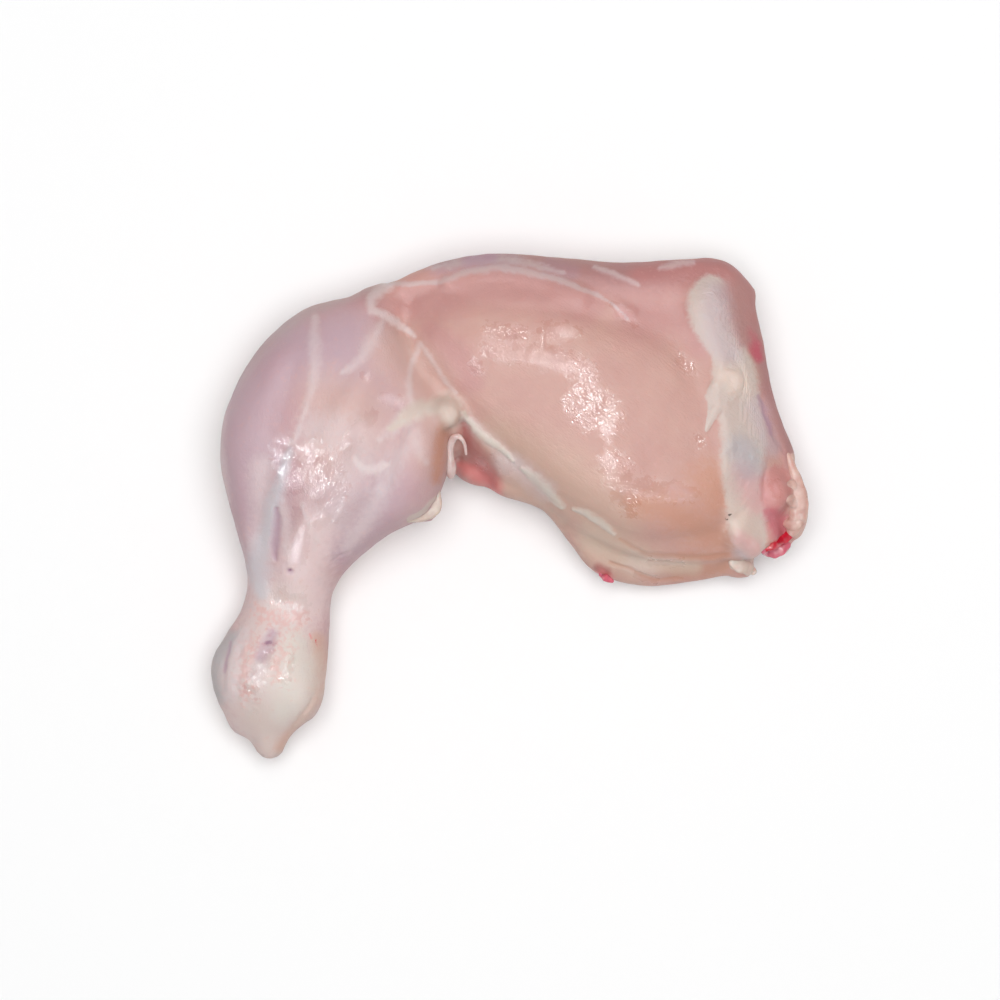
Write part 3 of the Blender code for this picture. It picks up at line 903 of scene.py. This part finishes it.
# %% [markdown]
# ## Wet muscle
# The main finish stacks its colours the way the meat does: salmon muscle first, then the
# broad zones, then films and tendons over them, then fat, gristle and blood. Fine noise
# frays each edge. A little light passes through the surface, and the gloss is a moist film
# whose fine wrinkles come from the shared groups.

# %% Colours of the muscle, from the deepest layer up
DRUMSTICK_PINK = rgb(207, 170, 169)
THIGH_SALMON = rgb(208, 160, 147)
DEEPER = {"drumstick": rgb(200, 157, 158), "thigh": rgb(202, 150, 139)}
# name, colour, strength, ramp at which it starts and is full, fraying
LAYERS = [
    ("rose", (199, 139, 136), 0.64, -0.9, 0.8, 0.3),
    ("lilac", (190, 158, 168), 0.75, -0.9, 0.8, 0.3),
    ("peach", (212, 170, 158), 0.65, -0.9, 0.8, 0.3),
    ("tan", (208, 174, 153), 0.60, -0.9, 0.8, 0.3),
    ("orange", (204, 142, 115), 0.74, -0.9, 1.0, 0.6),
    ("pale", (222, 199, 198), 0.60, -0.9, 0.8, 0.4),
    ("flap_cream", (216, 188, 168), 0.70, -0.9, 0.8, 0.3),
    # Shank layer: whitish tendon colour, partly painted light on the slope.
    ("shank_pale_and_lit", (238, 208, 205), 0.66, -0.9, 0.9, 0.4),
    # Rim layers: darker colours along the edges, partly the flesh's own tone and partly painted
    # shade.
    ("rim_grey_shade", (186, 166, 162), 0.55, -0.9, 0.9, 0.3),
    ("rim_dusky_shade", (164, 112, 111), 0.70, -0.9, 0.9, 0.3),
    ("rim_red_shade", (190, 120, 115), 0.66, -0.9, 0.9, 0.3),
    ("rim_spot", (192, 84, 98), 0.92, -0.8, 0.7, 0.5),
    ("knuckle", (219, 197, 191), 0.85, -0.3, 0.6, 0.3),
    ("knuckle_beige", (208, 186, 176), 0.70, -0.8, 0.9, 0.3),
    ("knuckle_grey", (176, 170, 170), 0.80, -0.8, 0.9, 0.3),
    ("knuckle_peach", (212, 168, 150), 0.75, -0.9, 0.8, 0.3),
    ("cartilage", (219, 206, 195), 0.78, -0.9, 0.7, 0.3),
    ("knuckle_salmon", (220, 156, 148), 0.50, -0.4, 1.6, 2.6),
    ("knuckle_white", (214, 198, 198), 0.55, -0.8, 0.9, 0.4),
    # Deep flesh layer: dark red, partly painted shade in the pit behind the knee.
    ("deep_flesh_and_shade", (170, 92, 88), 0.80, -0.6, 0.8, 0.3),
    ("coral", (226, 120, 118), 0.70, -0.9, 0.9, 0.3),
    # Crease layer: orange tint, partly painted shade in the folds.
    ("crease_tint_and_shade", (200, 138, 112), 0.46, -0.7, 1.0, 0.4),
    ("faint_cords", (224, 206, 204), 0.44, -0.9, 1.1, 0.5),
    ("tendon", (228, 208, 205), 0.66, -0.7, 0.8, 0.4),
    ("film", (206, 188, 186), 0.52, -0.7, 0.8, 0.5),
    ("shank_tendon", (205, 201, 205), 0.62, -0.8, 0.9, 0.4),
    ("seam", (219, 206, 194), 0.72, -0.6, 0.7, 0.4),
    ("knob", (214, 194, 180), 0.80, -0.8, 0.6, 0.3),
    ("fat", (211, 191, 181), 0.88, -0.16, 0.20, 0.14),
    ("flesh_ball", (204, 134, 128), 0.90, -0.2, 0.25, 0.3),
    ("lobes", (216, 176, 162), 0.88, -0.3, 0.3, 0.3),
    # Hollow layer: dark flesh, partly painted shade in the hollows.
    ("hollow_flesh_and_shade", (182, 130, 124), 0.92, -0.9, 0.8, 0.4),
    ("fat_cream", (226, 200, 186), 0.75, -0.8, 0.8, 0.3),
    ("fat_lilac", (198, 176, 182), 0.50, -0.9, 0.8, 0.3),
    ("fat_pink", (222, 156, 158), 0.55, -0.9, 0.9, 0.4),
    ("gristle", (176, 172, 174), 0.50, -0.9, 0.9, 0.3),
    # Purple layer: bruising, partly painted shade in the slit and pits.
    ("bruise_and_shade", (174, 130, 150), 0.54, -0.8, 0.9, 0.4),
    # Hole layer: dark magenta, partly painted shade in the hole and pit.
    ("hole_magenta_and_shade", (140, 84, 116), 0.75, -0.4, 0.7, 0.3),
    ("raw_pink", (204, 106, 116), 0.85, -0.8, 0.6, 0.4),
    ("blood", (214, 26, 52), 0.92, -0.4, 0.5, 0.5),
    ("specks", (84, 62, 48), 0.90, -0.1, 0.4, 0.0),
]


def attribute(tree, name, output="Fac"):
    settings = {"attribute_type": "GEOMETRY", "attribute_name": name}
    return add(tree, "ShaderNodeAttribute", **settings).outputs[output]


def mixed(tree, factor, below, above):
    """Colour above over colour below."""
    rows = [("Factor", factor), (6, below), (7, above)]
    return add(tree, "ShaderNodeMix", rows, data_type="RGBA").outputs[2]


def new_material(name):
    material = bpy.data.materials.new(name)
    material.use_nodes = True
    return material, material.node_tree, material.node_tree.nodes["Principled BSDF"].inputs


def use_group(tree, group, rows):
    """The outputs of a shared group placed in a material with its own inputs."""
    return add(tree, "ShaderNodeGroup", rows, node_tree=group).outputs


# %% Wet muscle material
wet_muscle, tree, shader = new_material("wet_muscle")
fibre_place = attribute(tree, "fibres", "Vector")
blotch = use_group(tree, MOTTLING, [("Size mm", 9.0), ("Contrast", 1.0)])["Mask"]
fine_blotch = use_group(tree, MOTTLING, [("Size mm", 1.4), ("Contrast", 1.3)])["Mask"]
fraying = calc(tree, "SUBTRACT", fine_blotch, 0.5)
drumstick_pink = mixed(tree, blotch, DRUMSTICK_PINK, DEEPER["drumstick"])
thigh_salmon = mixed(tree, blotch, THIGH_SALMON, DEEPER["thigh"])
colour = mixed(tree, attribute(tree, "thigh"), drumstick_pink, thigh_salmon)
for name, above, strength, low, high, frayed in LAYERS:
    ramp = calc(tree, "MULTIPLY_ADD", fraying, frayed, attribute(tree, name))
    colour = mixed(tree, remap(tree, ramp, low, high, 0.0, strength), colour, rgb(*above))
tree.links.new(colour, shader["Base Color"])
print("wet muscle has", len(LAYERS), "colour layers")

# %% [markdown]
# The gloss comes next. Roughness is low where the film is wet and rises where it has dried,
# and two heights, strands and crinkles, go through one bump, whose distance is a tenth of a
# millimetre. A part of the light scatters below the surface, red the deepest.

# %% Wet muscle gloss
FILM_BUMP = 0.10 * MM
STRAND_WIDTH = 0.55
SCATTER_DEPTH = 3.0 * MM
SCATTER_REACH = (1.0, 0.42, 0.32)


def wet_gloss(tree, shader, fibre_place, size, strand_share, rough, wetness=1.0):
    """Moist film: (wet, dried, dull) roughness by wetness, crinkles and strands as bump."""
    film = use_group(tree, WET_CRINKLE, [("Fibres", fibre_place), ("Size mm", size)])
    strands = use_group(tree, FIBRE_GRAIN, [("Fibres", fibre_place), ("Width mm", STRAND_WIDTH)])
    in_film = remap(tree, film["Dry"], 0.0, 1.0, rough[0], rough[1])
    wetted = remap(tree, wetness, 0.0, 1.0, 0.0, 1.0)
    above_film = calc(tree, "SUBTRACT", rough[2], in_film)
    dullness = calc(tree, "MULTIPLY", above_film, calc(tree, "SUBTRACT", 1.0, wetted))
    tree.links.new(calc(tree, "ADD", in_film, dullness), shader["Roughness"])
    total = calc(tree, "MULTIPLY_ADD", strands["Height"], strand_share, film["Height"])
    rows = [("Strength", 1.0), ("Distance", FILM_BUMP), ("Height", total)]
    normal = add(tree, "ShaderNodeBump", rows)
    tree.links.new(normal.outputs[0], shader["Normal"])


def scatter(shader, weight, depth=SCATTER_DEPTH, reach=SCATTER_REACH):
    shader["Subsurface Weight"].default_value = weight
    shader["Subsurface Scale"].default_value = depth
    shader["Subsurface Radius"].default_value = reach


WET_FRAYING = 1.2
frayed_wet = calc(tree, "MULTIPLY_ADD", fraying, WET_FRAYING, attribute(tree, "wet"))
wetness = remap(tree, frayed_wet, -0.7, 0.5)
muscle_film = {"size": 0.52, "strand_share": 0.5, "rough": (0.05, 0.12, 0.58)}
wet_gloss(tree, shader, fibre_place, **muscle_film, wetness=wetness)
scatter(shader, weight=0.25)

# %% The dressed leg
leg = new_object("leg_flesh", skin)
skin.materials.clear()
skin.materials.append(wet_muscle)
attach(leg, "root")
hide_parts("leg")
print("dressed leg:", len(skin.vertices), "points")

# %% [markdown]
# ## Cords, lobes and flaps that stand free
# Some bits of tendon and fat stand off the leg, which relief can't do: they need edges and
# an underside. Each is a flattened cord: an oval cross-section carried along a smooth curve,
# thick or thin, wide or narrow, with rounded ends and a little lumpiness. Its places are
# given in the picture, and its heights from the skin below or, beyond the edge, from the
# table.

# %% Cord maker
ROUND = 14
LUMP = 1.6 * MM
MIDDLE_HEIGHT = 12 * MM
END_RINGS = ((0.0, 1.0), (0.5, 0.87), (0.87, 0.5), (1.0, 0.08))
skin_tree = BVHTree.FromPolygons(moved.tolist(), [tuple(face.vertices) for face in skin.polygons])


def on_sight_line(column, row, height):
    """The point at a height above the table that the picture shows at a place."""
    reach = CAMERA_HEIGHT - height
    x = CAMERA_PLACE[0] + (column - PICTURE / 2) * PIXEL * reach
    y = CAMERA_PLACE[1] - (row - PICTURE / 2) * PIXEL * reach
    return Vector((x, y, height))


def skin_height(column, row):
    eye = Vector((*CAMERA_PLACE, CAMERA_HEIGHT))
    hit = skin_tree.ray_cast(eye, (on_sight_line(column, row, 0.0) - eye).normalized())[0]
    if hit is None:
        hit = skin_tree.find_nearest(on_sight_line(column, row, MIDDLE_HEIGHT))[0]
    return hit.z


def cord(name, rows, material, from_table=False, lumpy=0.12, seed=0):
    """A flattened cord of (column, row, height, half-width, half-thickness) rows, in mm."""
    line = through(rows)
    centres = []
    for column, row, rise, _, _ in line:
        base = 0.0 if from_table else skin_height(column, row)
        centres.append(on_sight_line(column, row, base + rise * MM))
    for _ in range(3):
        inner = [(a + 2 * b + c) / 4 for a, b, c in zip(centres, centres[1:], centres[2:])]
        centres = [centres[0], *inner, centres[-1]]
    rings = []
    last = len(centres) - 1
    for k, centre in enumerate(centres):
        run = (centres[min(k + 1, last)] - centres[max(k - 1, 0)]).normalized()
        side = run.cross(Vector((0, 0, 1))).normalized()
        rise = side.cross(run)
        sizes = line[k, 3] * MM, line[k, 4] * MM
        ends = END_RINGS if k in (0, last) else ((0.0, 1.0),)
        ends = ends[::-1] if k == 0 else ends
        for past, share in ends:
            out = run * (past * sizes[0] * (-1 if k == 0 else 1))
            ring = []
            for turn in np.arange(ROUND) * 2 * math.pi / ROUND:
                spot = side * (math.cos(turn) * sizes[0]) + rise * (math.sin(turn) * sizes[1])
                wobble = 1 + lumpy * noise.noise((centre + spot) / LUMP + Vector((seed, 0, 0)))
                ring.append(centre + out + spot * share * wobble)
            rings.append(ring)
    verts = [point for ring in rings for point in ring]
    faces = [tuple(range(ROUND))[::-1], tuple((len(rings) - 1) * ROUND + i for i in range(ROUND))]
    for k in range(len(rings) - 1):
        for i in range(ROUND):
            a, b = k * ROUND + i, k * ROUND + (i + 1) % ROUND
            faces.append((a, b, b + ROUND, a + ROUND))
    mesh = bpy.data.meshes.new(name)
    mesh.from_pydata(verts, [], faces)
    mesh.materials.append(material)
    mesh.polygons.foreach_set("use_smooth", np.ones(len(faces), bool))
    reworked(mesh, lambda bm: bmesh.ops.recalc_face_normals(bm, faces=bm.faces))
    piece = new_object(name, mesh)
    piece.modifiers.new("Round", "SUBSURF").render_levels = 1
    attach(piece, "root")
    return piece


print("skin height at the thigh's crown, mm:", round(skin_height(600, 410) / MM, 1))

# %% [markdown]
# ## Finishes of the small pieces
# Fat, tendon and blood share one recipe: two mottled colours, a thin wet film with wider
# crinkles than the muscle's, and more light passing through, because the pieces are small.


# %% Small wet finishes
def small_finish(name, light, dark, weight, wet, dried):
    material, tree, shader = new_material(name)
    where = add(tree, "ShaderNodeTexCoord").outputs["Object"]
    rows = [(0, where), ("Scale", 1 / MM)]
    in_mm = add(tree, "ShaderNodeVectorMath", rows, operation="SCALE").outputs[0]
    blotch = use_group(tree, MOTTLING, [("Size mm", 2.0), ("Contrast", 1.2)])["Mask"]
    tree.links.new(mixed(tree, blotch, rgb(*light), rgb(*dark)), shader["Base Color"])
    wet_gloss(tree, shader, in_mm, size=1.0, strand_share=0.2, rough=(wet, dried, dried))
    scatter(shader, weight, depth=2.0 * MM)
    return material


cream_fat = small_finish("cream_fat", (218, 200, 186), (208, 180, 168), 0.35, 0.22, 0.40)
peach_fat = small_finish("peach_fat", (219, 181, 168), (208, 160, 148), 0.35, 0.22, 0.40)
pale_tendon = small_finish("pale_tendon", (222, 200, 194), (208, 176, 170), 0.40, 0.14, 0.28)
wet_blood = small_finish("wet_blood", (214, 30, 56), (186, 16, 40), 0.30, 0.08, 0.16)
wet_pink = small_finish("wet_pink", (218, 112, 128), (196, 72, 96), 0.40, 0.08, 0.18)

# %% [markdown]
# ## The hook of tendon behind the knee
# A cut tendon end stands in the crook like a small hook, a blob at its foot and a thin curl
# at its top. A flap of cream fat hangs below the calf. Both reach past the edge of the skin,
# so their heights are given from the table.

# %% Hook, calf flap
HOOK = [
    (451, 475, 21.0, 1.1, 0.8), (451, 468, 22.5, 1.4, 1.0), (450, 459, 24.0, 1.15, 0.8),
    (450, 448, 26.0, 0.9, 0.6), (452, 440, 27.4, 0.9, 0.5), (457, 436, 28.4, 0.75, 0.45),
    (462, 439, 28.4, 0.5, 0.4), (465, 446, 27.2, 0.45, 0.35), (466, 454, 25.8, 0.3, 0.3),
]
FLAP_CORD = [
    (438, 492, 21.5, 0.6, 0.6), (436, 500, 21.0, 1.6, 0.8), (431, 508, 20.5, 2.4, 0.9),
    (424, 514, 21.0, 1.9, 0.8), (414, 519, 22.5, 0.9, 0.5), (408, 521, 23.5, 0.4, 0.4),
]
cord("hook_tendon", HOOK, pale_tendon, from_table=True)
cord("calf_flap_0", FLAP_CORD, cream_fat, from_table=True, lumpy=0.2)
print("hook and calf flap made")

# %% [markdown]
# ## The cut edge of the hip
# At the right the leg was cut from the back. Peach lobes of fat hang over the red flesh and
# reach inwards with small fingers, a thread of blood and a wet pink lump lie in the fold below
# them, and a tag of fat hangs at the low end of the band. A second, pink thread lies at the
# edge of the thigh's flap.

# %% Hip pieces
LOBES = [
    [
        (788, 455, -0.3, 0.7, 0.7), (791, 465, -0.2, 1.1, 0.9), (795, 478, -0.3, 1.6, 1.0),
        (798, 492, -0.5, 2.2, 1.2), (799, 507, -0.6, 2.5, 1.3), (797, 521, -0.5, 2.3, 1.3),
        (793, 531, -0.4, 1.8, 1.1),
    ],
    [(787, 499, -0.9, 1.0, 0.9), (792, 500, -0.5, 1.8, 1.0), (797, 502, -0.4, 2.0, 1.1)],
    [(786, 522, -0.3, 1.2, 0.8), (790, 523, -0.1, 2.0, 1.1), (795, 522, -0.1, 2.2, 1.2)],
    [(787, 485, -0.9, 0.8, 0.8), (791, 484, -0.5, 1.3, 0.9), (796, 486, -0.4, 1.6, 1.0)],
]
BLOOD_CLOTS = [
    [
        (793, 530, -0.1, 0.8, 0.6), (788, 536, 0.3, 1.3, 0.9), (781, 540, 0.3, 1.2, 0.8),
        (773, 545, 0.2, 1.1, 0.8), (765, 550, 0.0, 0.6, 0.5),
    ],
    [(601, 574, 0.0, 0.6, 0.5), (606, 578, 0.0, 0.9, 0.6), (612, 581, -0.1, 0.5, 0.4)],
]
WET_LUMP = [
    (763, 551, -0.3, 0.9, 0.8), (770, 552, 0.1, 1.4, 1.0), (779, 550, 0.2, 1.6, 1.1),
    (787, 545, 0.0, 1.0, 0.8),
]
LOW_TAG = [
    (733, 562, -0.1, 1.2, 0.8), (741, 566, 0.5, 1.8, 0.9), (749, 569, 0.3, 1.6, 0.8),
    (754, 572, 0.0, 0.8, 0.6),
]
for number, rows in enumerate(LOBES):
    cord(f"hip_lobe_{number}", rows, peach_fat, lumpy=0.15, seed=5 + number)
for number, (rows, finish) in enumerate(zip(BLOOD_CLOTS, (wet_blood, wet_pink))):
    cord(f"blood_{number}", rows, finish, lumpy=0.5, seed=20 + number)
cord("wet_lump_0", WET_LUMP, wet_pink, lumpy=0.4, seed=30)
cord("low_tag", LOW_TAG, cream_fat, lumpy=0.3, seed=41)

# %% [markdown]
# ## Table and light
# The table is plain white, so the leg's own colours stay clean. One broad light overhead, which
# the gloss doesn't see, gives the even soft shadow round the leg, and a white sky fills it.
# Small lights, which only the gloss sees, make the wet sparks, because a large light would
# smear them into a sheen. Each hangs where the mirror of a wet patch points: sparks on the
# thigh, wider lights for the net on the drumstick, and fainter glints elsewhere.

# %% Table
TABLE_SIZE = 3.0
table = bpy.data.meshes.new("table")
signs = ((-1, -1), (1, -1), (1, 1), (-1, 1))
corners = [(x * TABLE_SIZE / 2, y * TABLE_SIZE / 2, 0.0) for x, y in signs]
table.from_pydata(corners, [], [(0, 1, 2, 3)])
white_table, tree, shader = new_material("white_table")
shader["Base Color"].default_value = (0.93, 0.93, 0.93, 1.0)
shader["Roughness"].default_value = 0.9
shader["Specular IOR Level"].default_value = 0.0
table.materials.append(white_table)
table_top = new_object("table", table)

# %% Light
SKY_STRENGTH = 0.34
# size in metres, power in watts, place
BROAD_LIGHT = (1.30, 19.6, Vector((0.05, 0.10, 1.50)))
SPARK_COLOUR = (0.86, 0.97, 1.0)
SPARK_REACH = 1.15
MIRROR_REACH = 5
# size in metres, power in watts, mirrored places in the picture
SPARKS = [
    (0.07, 1.1, [
        (588, 398), (603, 420), (492, 351), (538, 354), (580, 370), (505, 331), (562, 331),
        (616, 466), (628, 494), (672, 492),
    ]),
    (0.085, 2.2, [
        (284, 456), (292, 478), (312, 456), (328, 478), (328, 504), (312, 492), (300, 534),
    ]),
    (0.065, 0.8, [
        (476, 366), (622, 312), (366, 376), (392, 401), (298, 556), (362, 428), (482, 466),
        (504, 461), (685, 365), (700, 441), (285, 601), (302, 607), (256, 680), (270, 652),
        (652, 562), (773, 486),
    ]),
]


def mirror_place(column, row):
    """Where a light must hang so that the skin at a place of the picture mirrors it."""
    near = np.linalg.norm(place - np.array((column, row)), axis=1) < MIRROR_REACH
    normal = Vector(settled_normals[near & (facing_up > 0.5)].mean(0)).normalized()
    spot = on_sight_line(column, row, skin_height(column, row))
    view = (Vector((*CAMERA_PLACE, CAMERA_HEIGHT)) - spot).normalized()
    return spot + (2 * view.dot(normal) * normal - view) * SPARK_REACH


def hang(name, size, power, spot, for_gloss):
    """A round light that faces the leg and lights either the gloss or everything else."""
    light_data = bpy.data.lights.new(name, "AREA")
    light_data.shape = "DISK"
    light_data.size = size
    light_data.energy = power
    light_data.color = SPARK_COLOUR if for_gloss else (1.0, 1.0, 1.0)
    light = new_object(name, light_data)
    light.location = spot
    light.rotation_euler = spot.to_track_quat("Z", "Y").to_euler()
    light.visible_camera = False
    light.visible_glossy = for_gloss
    light.visible_diffuse = not for_gloss


settled_normals = read_normals(skin)
hang("broad", *BROAD_LIGHT, for_gloss=False)
for size, power, places in SPARKS:
    for column, row in places:
        spot = mirror_place(column, row)
        hang(f"spark_{column}_{row}", size, power, spot, for_gloss=True)

sky = bpy.data.worlds.new("white_sky")
sky.use_nodes = True
sky.node_tree.nodes["Background"].inputs["Color"].default_value = (1.0, 1.0, 1.0, 1.0)
sky.node_tree.nodes["Background"].inputs["Strength"].default_value = SKY_STRENGTH
bpy.context.scene.world = sky
bpy.context.scene.view_settings.view_transform = "Standard"
print("lights for the sparks:", sum(len(row[2]) for row in SPARKS), "sky:", SKY_STRENGTH)
